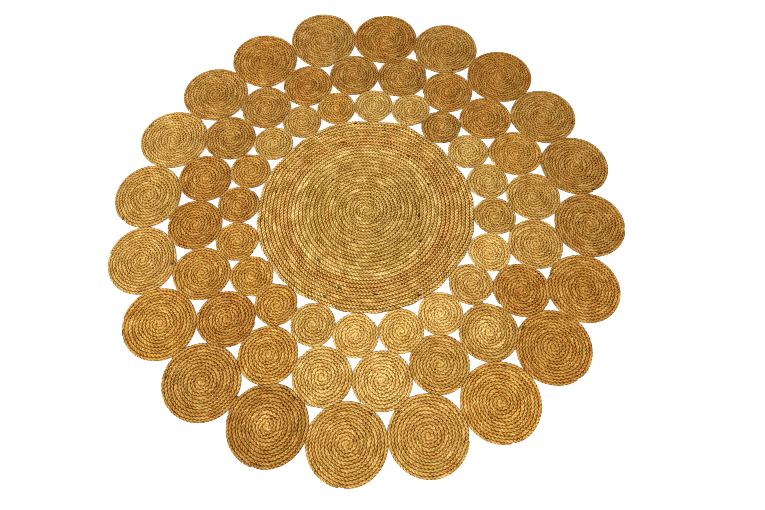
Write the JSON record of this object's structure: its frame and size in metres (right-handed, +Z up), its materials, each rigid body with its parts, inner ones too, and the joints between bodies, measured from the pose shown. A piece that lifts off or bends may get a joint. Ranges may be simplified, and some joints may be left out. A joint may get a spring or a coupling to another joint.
{
  "type": "round braided jute rug",
  "caption": "Round flat rug of coiled jute braid: a big centre coil ringed by smaller coils sewn edge to edge, with open gaps between them.",
  "frame": {"origin": "on the floor, under the middle of the rug's outer box, a few millimetres from the middle of the centre coil", "axes": "+Z up out of the rug's face, +X and +Y along the floor; coils are counted clockwise from the one just left of +Y"},
  "size_m": [1.4892, 1.5174, 0.008],
  "materials": {
    "jute_gold": "matt hairy braid, golden yarn",
    "jute_straw": "matt hairy braid, pale straw yarn",
    "jute_olive": "matt hairy braid, pale yarn, a little green",
    "jute_amber": "matt hairy braid, amber yarn",
    "jute_russet": "matt hairy braid, darker reddish yarn",
    "jute_brown": "matt hairy braid, dull brownish yarn"
  },
  "bodies": {
    "root": {"centre": "jute_gold", "inner_01": "jute_amber", "inner_02": "jute_olive", "inner_03": "jute_olive", "inner_04": "jute_brown", "inner_05": "jute_olive", "inner_06": "jute_olive", "inner_07": "jute_gold", "inner_08": "jute_straw", "inner_09": "jute_gold", "inner_10": "jute_straw", "inner_11": "jute_straw", "inner_12": "jute_straw", "inner_13": "jute_olive", "inner_14_and_inner_15": "jute_amber", "inner_16": "jute_amber", "inner_17": "jute_russet", "inner_18": "jute_amber", "inner_19": "jute_olive", "inner_20": "jute_gold", "middle_01": "jute_brown", "middle_02": "jute_brown", "middle_03": "jute_russet", "middle_04": "jute_russet", "middle_05": "jute_amber", "middle_06": "jute_gold", "middle_07": "jute_gold", "middle_08": "jute_russet", "middle_09": "jute_gold", "middle_10": "jute_gold", "middle_11": "jute_olive", "middle_12": "jute_olive", "middle_13": "jute_amber", "middle_14": "jute_russet", "middle_15": "jute_amber", "middle_16": "jute_russet", "middle_17": "jute_russet", "middle_18": "jute_brown", "middle_19": "jute_brown", "middle_20": "jute_russet", "outer_01": "jute_brown", "outer_02": "jute_russet", "outer_03": "jute_brown", "outer_04": "jute_russet", "outer_05": "jute_brown", "outer_06": "jute_brown", "outer_07": "jute_brown", "outer_08": "jute_russet", "outer_09": "jute_russet", "outer_10": "jute_amber", "outer_11": "jute_gold", "outer_12": "jute_gold", "outer_13": "jute_brown", "outer_14": "jute_brown", "outer_15": "jute_amber", "outer_16": "jute_gold", "outer_17": "jute_gold", "outer_18": "jute_gold", "outer_19": "jute_brown", "outer_20": "jute_russet"}
  },
  "joints": []
}
